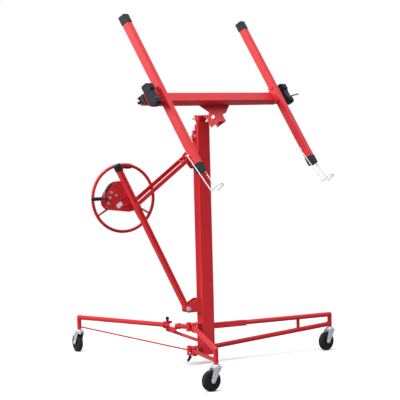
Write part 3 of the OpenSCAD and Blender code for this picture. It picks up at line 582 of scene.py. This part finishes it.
def caster_details(name):
    """Swivel race, seal and axle washers in zinc, hub ribs, and the tyre's moulded lines."""
    place = caster_frame(name)
    body = f"{name}_caster"
    wheel = f"{name}_wheel"
    bm = bmesh.new()
    race = [(21, 107.9), (23.4, 108.2), (24.2, 110), (23.8, 112.2), (22, 113.4), (20.8, 113.2), (20.6, 110),
            (21, 107.9)]
    lathe(bm, [(r * MM, h * MM) for r, h in race], place, 48)
    seal = [(17.2, 119.2), (19.6, 119), (20.8, 118), (21.2, 119.4), (19.8, 121), (17.2, 121.4), (17.2, 119.2)]
    lathe(bm, [(r * MM, h * MM) for r, h in seal], place, 48)
    for s in (-1, 1):
        axle = place @ frame_matrix(Vector((TRAIL, s * 20, AXLE_Z)) * MM, (1, 0, 0), (0, s, 0))
        washer(bm, axle, 4.1 * MM, 9 * MM, 0.9 * MM)
    finish_piece(f"caster_races_{name}", bm, ZINC, body)
    bm = bmesh.new()
    for s in (-1, 1):
        face = place @ frame_matrix(Vector((TRAIL, s * 11, AXLE_Z)) * MM, (1, 0, 0), (0, s, 0))
        for k in range(6):
            turn = face @ Matrix.Rotation(2 * math.pi * k / 6, 4, "Z")
            rib(bm, turn, 9.6, 27.9, 1.4, 2.2, 0.0)
    finish_piece(f"caster_hub_ribs_{name}", bm, BLACK, wheel)
    bm = bmesh.new()
    centre = place @ (Vector((TRAIL, 0, AXLE_Z)) * MM)
    axis = place.to_3x3() @ Vector((0, 1, 0))
    for s in (-1, 1):
        bead_ring = circle(centre + axis * s * 10.4 * MM, 45.9 * MM, axis, 72)
        sweep(bm, bead_ring, lambda i: 0.7 * MM, 8, True)
        bead_ring = circle(centre + axis * s * 13.4 * MM, 40.4 * MM, axis, 72)
        sweep(bm, bead_ring, lambda i: 0.8 * MM, 8, True)
    finish_piece(f"caster_tyre_lines_{name}", bm, TYRE, wheel)


def rib(bm, place, start, end, half, tall, base):
    """Tapered straight rib along local X, in millimetres."""
    corners = []
    for x, w in ((start, half), (end, half * 1.2)):
        for y in (-w, w):
            corners.append(place @ (Vector((x, y, base)) * MM))
        for y in (-w * 0.7, w * 0.7):
            corners.append(place @ (Vector((x, y, base + tall)) * MM))
    v = [bm.verts.new(c) for c in corners]
    for face in ((0, 1, 5, 4), (2, 6, 7, 3), (0, 4, 6, 2), (1, 3, 7, 5), (0, 2, 3, 1), (4, 5, 7, 6)):
        bm.faces.new([v[i] for i in face])


# ---------- winch ----------

# Outer faces of the two winch plates, and places on them, in millimetres from the mast's foot
FAR_FACE = 95
NEAR_FACE = 44
FRAME_POSTS = ((-368, 822), (-506, 833), (-432, 951))
STANDOFFS = ((-350, 798), (-338, 776))
LABEL_AT = (-455.6, 842.5)
CREASES = (((-450, 867), (-438, 875), (-423, 882)), ((-430, 835), (-420, 840), (-407, 843)))


def winch_details():
    """Washers on the far plate, welds, two pressed creases and a blank label on the near one."""
    bm = bmesh.new()
    for x, z in FRAME_POSTS:
        face = frame_matrix(mast_point(x, FAR_FACE, z), (1, 0, 0), (0, 1, 0))
        washer(bm, face, 4.1 * MM, 8.2 * MM, 1.4 * MM)
    finish_piece("frame_washers", bm, ZINC, "winch")
    bm = bmesh.new()
    for x, z in STANDOFFS:
        bead(bm, circle(mast_point(x, NEAR_FACE - 0.6, z), 9.2 * MM, (0, 1, 0)), 1.8 * MM, True)
    for pts in CREASES:
        line = [mast_point(x, NEAR_FACE - 0.4, z) for x, z in pts]
        sweep(bm, resample(line, 4 * MM, False), lambda i: 2.6 * MM, 12)
    finish_piece("winch_frame_ribs", bm, RED, "winch")
    tilt_label = Matrix.Rotation(math.radians(35), 4, "Z")
    face = frame_matrix(mast_point(LABEL_AT[0], NEAR_FACE, LABEL_AT[1]), (1, 0, 0), (0, -1, 0)) @ tilt_label
    label("winch_label", face, 34 * MM, 22 * MM, "winch")


def cable_turns():
    """Five turns of wire rope on the drum, with its strands twisted round it."""
    bm = bmesh.new()
    axis = joint_at("drum_spin")
    low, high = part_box("wound_cable")
    wire = 2.15 * MM
    core = 36 * MM
    start = low.y + wire
    turns = 4.85
    steps = 120
    strands = 6
    twist = 11
    sides = 24
    rings = []
    for i in range(int(turns * steps) + 1):
        a = 2 * math.pi * i / steps
        centre = Vector((math.cos(a), 0, math.sin(a)))
        y = start + (high.y - low.y - 2 * wire) * i / (turns * steps)
        ring = []
        for k in range(sides):
            b = 2 * math.pi * k / sides
            r = wire * (0.93 + 0.07 * math.cos(strands * (b - twist * a / strands)))
            out = core + wire + r * math.cos(b)
            ring.append(bm.verts.new(Vector((axis.x, y + r * math.sin(b), axis.z)) + centre * (out - wire)))
        rings.append(ring)
    for low_ring, high_ring in zip(rings, rings[1:]):
        for k in range(sides):
            n = (k + 1) % sides
            bm.faces.new((low_ring[k], high_ring[k], high_ring[n], low_ring[n]))
    bm.faces.new(rings[0])
    bm.faces.new(rings[-1])
    inner = 30.1 * MM
    seat = 35 * MM
    place = frame_matrix(Vector((axis.x, low.y, axis.z)), (1, 0, 0), (0, 1, 0))
    width = high.y - low.y
    lathe(bm, [(inner, 0.2 * MM), (seat, 0.2 * MM), (seat, width - 0.2 * MM), (inner, width - 0.2 * MM),
               (inner, 0.2 * MM)], place, 64)
    piece = finish_piece("cable_turns", bm, ROPE, "drum")
    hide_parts("wound_cable")


def wheel_details():
    """Welds at both ends of the hand wheel's three spokes, and the nut and washer on its shaft."""
    bm = bmesh.new()
    hub = joint_at("wheel_spin")
    ring = 171 * MM
    for a in (90, 210, 330):
        out = Vector((math.cos(math.radians(a)), 0, math.sin(math.radians(a))))
        bead(bm, circle(hub + out * (ring - 8 * MM), 5.2 * MM, out, 32), 1.6 * MM, True)
        bead(bm, circle(hub + out * 15 * MM, 5.2 * MM, out, 32), 1.6 * MM, True)
    finish_piece("hand_wheel_welds", bm, RED, "crank_wheel")
    bm = bmesh.new()
    end = frame_matrix(Vector((hub.x, MAST.y + 127 * MM, hub.z)), (1, 0, 0), (0, 1, 0))
    washer(bm, end, 7.1 * MM, 13 * MM, 1.6 * MM)
    hexagon(bm, end @ Matrix.Translation((0, 0, 1.6 * MM)), 22 * MM, 7.05 * MM, 9 * MM)
    finish_piece("hand_wheel_nut", bm, ZINC, "crank_wheel")


def hexagon(bm, place, across, hole, tall):
    """Chamfered nut on the local XY plane."""
    sides = 6
    count = 48
    apothem = across / 2
    outer = []
    for i in range(count):
        a = 2 * math.pi * i / count
        inside = (a % (2 * math.pi / sides)) - math.pi / sides
        outer.append((a, apothem / math.cos(inside)))
    cut = apothem * 1.03
    drop = 0.12 * across
    rows = [[(a, hole) for a, _ in outer], [(a, min(r, cut)) for a, r in outer], outer, outer,
            [(a, min(r, cut)) for a, r in outer], [(a, hole) for a, _ in outer]]
    heights = [0, 0, 0, tall, tall, tall]
    rings = []
    for row, (ring, z) in enumerate(zip(rows, heights)):
        verts = []
        for a, r in ring:
            over = max(0.0, r - cut) / (apothem * 0.1547) * drop * 0.5
            lift = z + (over if row == 2 else -over if row == 3 else 0)
            verts.append(bm.verts.new(place @ Vector((r * math.cos(a), r * math.sin(a), lift))))
        rings.append(verts)
    rings.append(rings[0])
    for low, high in zip(rings, rings[1:]):
        for i in range(count):
            k = (i + 1) % count
            corners = list(dict.fromkeys((low[i], low[k], high[k], high[i])))
            if len(corners) > 2 and len({tuple(round(c, 7) for c in v.co) for v in corners}) > 2:
                bm.faces.new(corners)


def grip_rings(name, body, start, direction, radii, spacing):
    """Moulded rings along a grip."""
    bm = bmesh.new()
    axis = Vector(direction).normalized()
    for i, r in enumerate(radii):
        ring = circle(start + axis * spacing * i, r, axis, 48)
        sweep(bm, ring, lambda k: 0.9 * MM, 8, True)
    finish_piece(name, bm, BLACK, body)


def crank_grip_details():
    """Moulded rings along the crank grip and a washer at its end."""
    axis = joint_at("handle_spin")
    low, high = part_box("crank_grip")
    start = Vector((axis.x, low.y + 22 * MM, axis.z))
    radii = [(12.45 + 1.35 * min(i, 5) / 5 - 0.25 * max(0, i - 6)) * MM for i in range(9)]
    grip_rings("crank_grip_rings", "crank_handle", start, (0, 1, 0), radii, 7 * MM)
    bm = bmesh.new()
    end = frame_matrix(Vector((axis.x, high.y + 0.4 * MM, axis.z)), (1, 0, 0), (0, 1, 0))
    washer(bm, end, 4.05 * MM, 8 * MM, 1.0 * MM)
    finish_piece("crank_grip_washer", bm, ZINC, "crank_wheel")


def brake_details():
    """Moulded rings along the brake lever's grip."""
    low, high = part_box("brake_lever")
    start = Vector((low.x + 9 * MM, low.y + 9 * MM, (low.z + high.z) / 2))
    grip_rings("brake_grip_rings", "brake", start, (1, 0, 0), [9.0 * MM] * 5, 7 * MM)


# ---------- link and strut ----------

# Pin that the link bars hang on at the mast
LINK_PIN = (-75, 0, 1078)


def strut_details():
    """Lip at the open end of the strut's black cap."""
    bm = bmesh.new()
    cap_low = STRUT @ Matrix.Translation((0, 0, CAP_LIP_AT))
    profile = [(19.4, 0), (20.4, 0.6), (20.4, 3.4), (19.4, 4)]
    lathe(bm, [(r * MM, h * MM) for r, h in profile + profile[:1]], cap_low, 48)
    finish_piece("strut_cap_lip", bm, BLACK, "winch")


def link_details():
    """Welds at both ends of the spacer between the link bars, and washers on their pin."""
    bm = bmesh.new()
    along_bars = Vector((math.cos(LINK_SLOPE), 0, math.sin(LINK_SLOPE)))
    spacer = mast_point(*LINK_PIN) - along_bars * 46 * MM
    for s in (-1, 1):
        bead(bm, circle(spacer + Vector((0, s * 35 * MM, 0)), 6.2 * MM, (0, 1, 0), 32), 1.6 * MM, True)
    finish_piece("link_welds", bm, RED, "link")
    bm = bmesh.new()
    for s in (-1, 1):
        side = frame_matrix(mast_point(LINK_PIN[0], s * 40.6, LINK_PIN[2]), (1, 0, 0), (0, s, 0))
        washer(bm, side, 5.1 * MM, 10 * MM, 1.2 * MM)
    finish_piece("link_washers", bm, ZINC, "link")


# ---------- cradle ----------

# Places along the beam from its middle, in millimetres: each arm's saddle, the collar round the beam's end,
# and the panel rest
SADDLE_AT = 519.5
LIP_AT = 558
REST_AT = 606


def rounded_loop(x, half, r):
    """Rounded square in the plane at x."""
    points = []
    for sy, sz, start in ((1, 1, 0), (-1, 1, 90), (-1, -1, 180), (1, -1, 270)):
        for k in range(5):
            a = math.radians(start + 22.5 * k)
            points.append(Vector((x, sy * (half - r) + r * math.cos(a), sz * (half - r) + r * math.sin(a))))
    return points


def cradle_welds():
    """Beads round the yoke under the beam and along both arms' saddles."""
    bm = bmesh.new()
    for y in (-25, 25):
        bead(bm, [BEAM @ (Vector((x, y, -25)) * MM) for x in (-130, 130)], 2.4 * MM)
    for s in (-1, 1):
        for x in (27 * s, 30 * s):
            bead(bm, [CRADLE @ (Vector((x, y, 13.4)) * MM) for y in (-34, 44)], 1.5 * MM)
    bead(bm, [CRADLE @ (Vector((x, -36, 13.4)) * MM) for x in (-27, 27)], 1.6 * MM)
    finish_piece("yoke_welds", bm, RED, "cradle")
    bm = bmesh.new()
    for s in (-1, 1):
        for e in (-1, 1):
            line = [Vector((s * SADDLE_AT + x, e * 28.2, 25)) * MM for x in (-21, 21)]
            bead(bm, [BEAM @ p for p in line], 1.8 * MM)
    finish_piece("saddle_welds", bm, RED, "cradle")


def saddle_washers():
    """Painted washers at both ends of the saddle bolts."""
    bm = bmesh.new()
    for s in (-1, 1):
        for e in (-1, 1):
            for side in (-1, 1):
                bolt_end = Vector((s * SADDLE_AT + side * 22, e * 37, 47)) * MM
                at = BEAM @ frame_matrix(bolt_end, (0, 1, 0), (side, 0, 0))
                washer(bm, at, 4.1 * MM, 8.2 * MM, 1.2 * MM)
    finish_piece("saddle_washers", bm, RED, "cradle")


def cap_rims():
    """Raised band at the open end of each arm cap."""
    bm = bmesh.new()
    for name in SIDES:
        arm = arm_frame(name)
        for e in (-1, 1):
            path = [arm @ Vector((p.y, e * 400.5 * MM, p.z)) for p in rounded_loop(0, 21 * MM, 4 * MM)]
            sweep(bm, path, lambda i: 1.1 * MM, 8, True)
    finish_piece("arm_cap_rims", bm, BLACK, "cradle")


def hook_springs():
    """Torsion springs on each hook's pivot, one on either side of the arm, with a leg laid up the arm."""
    turns = 4.5
    count = 90
    for name in SIDES:
        hook = hook_frame(name)
        bm = bmesh.new()
        for side in (-1, 1):
            coil = []
            for i in range(count + 1):
                a = math.radians(200) + 2 * math.pi * turns * i / count * side
                x = side * (19.9 + 5 * i / count)
                coil.append(hook @ (Vector((x, 4.6 * math.cos(a), 4.6 * math.sin(a))) * MM))
            leg = [hook @ (Vector((side * 19.9, y, z)) * MM) for y, z in ((66, -4), (20, -3))]
            sweep(bm, leg + coil, lambda i: 0.9 * MM, 8)
        finish_piece(f"hook_springs_{name}", bm, ZINC, "cradle")


def beam_lips():
    """Collar pressed round each open end of the beam."""
    bm = bmesh.new()
    for s in (-1, 1):
        path = [BEAM @ p for p in rounded_loop(s * LIP_AT * MM, 25.0 * MM, 4 * MM)]
        sweep(bm, path, lambda i: 1.3 * MM, 10, True)
    finish_piece("beam_lips", bm, RED, "cradle")


def rest_details(name):
    """Ribs and softened corner beads on each moulded panel rest."""
    bm = bmesh.new()
    place = BEAM @ Matrix.Translation(Vector((SIDES[name] * REST_AT, 0, 22.2)) * MM)
    for end in (-1, 1):
        for x in (-14, -7, 0, 7, 14):
            at = place @ frame_matrix(Vector((x, end * 39, 45)) * MM, (0, 1, 0), (0, 0, 1))
            rib(bm, at, -9, 9, 1.2, 0.7, -0.1)
        for x in (-21, 21):
            line = [place @ (Vector((x, end * y, z)) * MM) for y, z in ((50, 6), (50, 40), (30, 40))]
            sweep(bm, resample(line, 3 * MM, False), lambda i: 1.2 * MM, 8)
    finish_piece(f"panel_rest_ribs_{name}", bm, BLACK, f"{name}_outrigger")


def head_details():
    """Thrust washer under the swivel head, and beads at its ears."""
    bm = bmesh.new()
    centre = MAST + UP * 1281.0 * MM
    lathe(bm, [(10.2 * MM, 0), (17 * MM, 0), (17 * MM, 0.28 * MM), (10.2 * MM, 0.28 * MM), (10.2 * MM, 0)],
          Matrix.Translation(centre), 48)
    finish_piece("head_thrust_washer", bm, ZINC, "inner_stage")
    bm = bmesh.new()
    swivel = frame_matrix(MAST, along_beam, UP)
    for s in (-1, 1):
        bead(bm, [swivel @ (Vector((s * 20, -34, z)) * MM) for z in (1283, 1286)], 1.4 * MM)
    finish_piece("head_welds", bm, RED, "swivel")


base_welds()
fixed_leg_welds()
folding_leg_welds("left", 4)
folding_leg_welds("front", 10)
left_leg_collars()
left_leg_label()
base_washers()
knob_collar()
pin_ends()
for caster in ("left", "front", "right"):
    caster_details(caster)
winch_details()
cable_turns()
wheel_details()
crank_grip_details()
brake_details()
strut_details()
link_details()
cradle_welds()
saddle_washers()
cap_rims()
hook_springs()
beam_lips()
rest_details("left")
rest_details("right")
head_details()


# ---------- stage ----------

def floor():
    """Pale ground, for the picture only."""
    bm = bmesh.new()
    size = 4
    corners = [bm.verts.new((x * size, y * size, 0)) for x, y in ((-1, -1), (1, -1), (1, 1), (-1, 1))]
    bm.faces.new(corners)
    mesh = bpy.data.meshes.new("floor")
    bm.to_mesh(mesh)
    bm.free()
    mat, tree, shader = new_material("pale_floor", (0.93, 0.93, 0.93), 0.6)
    pale = ramp(tree, noise(tree, 1.5, 2.0), [(0.3, grey(0.88)), (0.7, grey(0.92))])
    tree.links.new(seen_or_lighting(tree, pale, grey(0.3)), shader.inputs["Base Color"])
    fade_out(tree, shader, 1.6, 3.4)
    mesh.materials.append(mat)
    ground = bpy.data.objects.new("floor", mesh)
    bpy.context.collection.objects.link(ground)


def seen_or_lighting(tree, seen, lighting):
    """One colour for what is seen directly, and a dimmer one for the light that bounces off it."""
    path = tree.nodes.new("ShaderNodeLightPath")
    mix = tree.nodes.new("ShaderNodeMix")
    mix.data_type = "RGBA"
    tree.links.new(path.outputs["Is Camera Ray"], mix.inputs["Factor"])
    for socket, color in (("A", lighting), ("B", seen)):
        if isinstance(color, tuple):
            mix.inputs[socket].default_value = (*color, 1)
        else:
            tree.links.new(color, mix.inputs[socket])
    return mix.outputs["Result"]


def fade_out(tree, shader, start, end):
    """The floor thins out with distance, so it meets the backdrop without a line."""
    coords = tree.nodes.new("ShaderNodeTexCoord")
    distance = tree.nodes.new("ShaderNodeVectorMath")
    distance.operation = "LENGTH"
    tree.links.new(coords.outputs["Object"], distance.inputs[0])
    span = tree.nodes.new("ShaderNodeMapRange")
    span.interpolation_type = "SMOOTHSTEP"
    span.inputs["From Min"].default_value = start
    span.inputs["From Max"].default_value = end
    span.inputs["To Min"].default_value = 1
    span.inputs["To Max"].default_value = 0
    tree.links.new(distance.outputs["Value"], span.inputs["Value"])
    tree.links.new(span.outputs["Result"], shader.inputs["Alpha"])


def area_light(name, place, target, size, power):
    """Round lamp aimed at a target."""
    data = bpy.data.lights.new(name, "AREA")
    data.shape = "DISK"
    data.size = size
    data.energy = power
    lamp = bpy.data.objects.new(name, data)
    lamp.location = place
    lamp.rotation_mode = "QUATERNION"
    lamp.rotation_quaternion = (Vector(target) - Vector(place)).to_track_quat("-Z", "Y")
    bpy.context.collection.objects.link(lamp)


def world_light():
    """Soft box overhead and a dim horizon for the light, with a white backdrop behind the object."""
    world = bpy.data.worlds.new("studio")
    world.use_nodes = True
    tree = world.node_tree
    sky = tree.nodes["Background"]
    sky.inputs["Strength"].default_value = 1.0
    coords = tree.nodes.new("ShaderNodeTexCoord")
    split = tree.nodes.new("ShaderNodeSeparateXYZ")
    tree.links.new(coords.outputs["Generated"], split.inputs["Vector"])
    height = tree.nodes.new("ShaderNodeMapRange")
    height.inputs["From Min"].default_value = -1
    height.inputs["From Max"].default_value = 1
    tree.links.new(split.outputs["Z"], height.inputs["Value"])
    glow = ramp(tree, height.outputs["Result"], [(0.46, grey(0.05)), (0.56, grey(0.12)), (0.74, grey(1.0))])
    tree.links.new(seen_or_lighting(tree, grey(1.0), glow), sky.inputs["Color"])
    bpy.context.scene.world = world
    bpy.context.scene.view_settings.view_transform = "Standard"


def camera():
    """Camera at the viewing angle: turned a little left of the -Y axis, looking slightly down, rolled."""
    azimuth, pitch, roll = (math.radians(a) for a in (-28.2, 2.9, 1.5))
    ahead = Vector((-math.sin(azimuth), math.cos(azimuth), 0))
    right = Vector((math.cos(azimuth), math.sin(azimuth), 0))
    aim = ahead * math.cos(pitch) - UP * math.sin(pitch)
    top = UP * math.cos(pitch) + ahead * math.sin(pitch)
    turned_right = right * math.cos(roll) - top * math.sin(roll)
    turned_top = right * math.sin(roll) + top * math.cos(roll)
    data = bpy.data.cameras.new("camera")
    data.sensor_width = 36
    data.lens = 144.16
    data.clip_end = 100
    cam = bpy.data.objects.new("camera", data)
    turn = Matrix((turned_right, turned_top, -aim)).transposed().to_4x4()
    cam.matrix_world = Matrix.Translation((-4.0147, -7.3185, 1.2679)) @ turn
    bpy.context.collection.objects.link(cam)
    bpy.context.scene.camera = cam


floor()
world_light()
area_light("top", (-0.6, -0.8, 5.0), (0, 0, 0.5), 3.5, 160)
area_light("left", (-5.0, -0.5, 2.6), (0, 0, 0.9), 2.2, 200)
area_light("front", (-2.0, -6.5, 3.2), (0, 0, 0.9), 2.0, 4)
camera()
